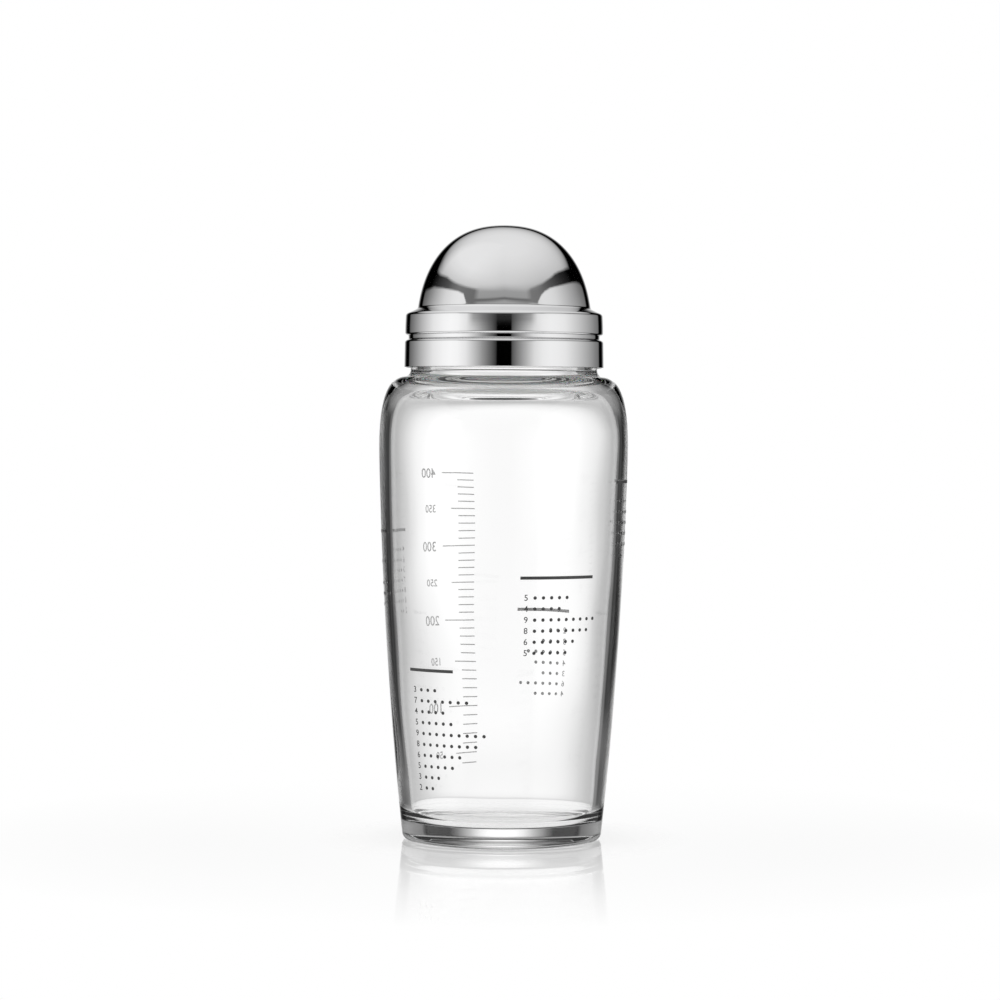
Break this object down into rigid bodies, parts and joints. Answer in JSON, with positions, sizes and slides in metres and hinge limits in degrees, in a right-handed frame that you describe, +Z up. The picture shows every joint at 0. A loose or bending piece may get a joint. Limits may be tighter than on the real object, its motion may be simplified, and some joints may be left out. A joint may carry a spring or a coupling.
{
  "type": "salad dressing shaker bottle",
  "caption": "Tapered glass shaker bottle with a screw-on pouring collar and a domed push-on steel cap, for mixing and serving dressings.",
  "frame": {"origin": "middle of the foot, on the surface that the bottle stands on", "axes": "+Z up along the bottle's axis, -Y towards the picture's camera, +X to its right; the printed graduation is on the back, +Y"},
  "size_m": [0.0812, 0.0812, 0.2],
  "materials": {
    "glass": "clear, polished, pressed",
    "polished_steel": "mirror-polished stainless steel",
    "white_plastic": "moulded, glossy",
    "silicone": "soft, satin, translucent"
  },
  "bodies": {
    "bottle": {"glass_bottle": "glass"},
    "pourer": {"neck_gasket": "silicone", "pour_spout": "white_plastic"},
    "collar": {"collar_core": "white_plastic", "collar_shell": "polished_steel"},
    "cap": {"cap_shell": "polished_steel", "cap_liner": "white_plastic", "cap_stopper": "silicone"}
  },
  "joints": [
    {"name": "closure_rise", "type": "slide", "parent": "bottle", "child": "pourer", "axis": [0, 0, 1], "range_m": [0, 0.015]},
    {"name": "collar_turn", "type": "hinge", "parent": "pourer", "child": "collar", "pos_m": [0, 0, 0.158], "axis": [0, 0, 1], "range_deg": [0, 1080]},
    {"name": "cap_lift", "type": "slide", "parent": "collar", "child": "cap", "axis": [0, 0, 1], "range_m": [0, 0.04]}
  ],
  "couplings": [
    {"joint": "closure_rise", "follows": "collar_turn", "m_per_rad": 0.00079577}
  ]
}
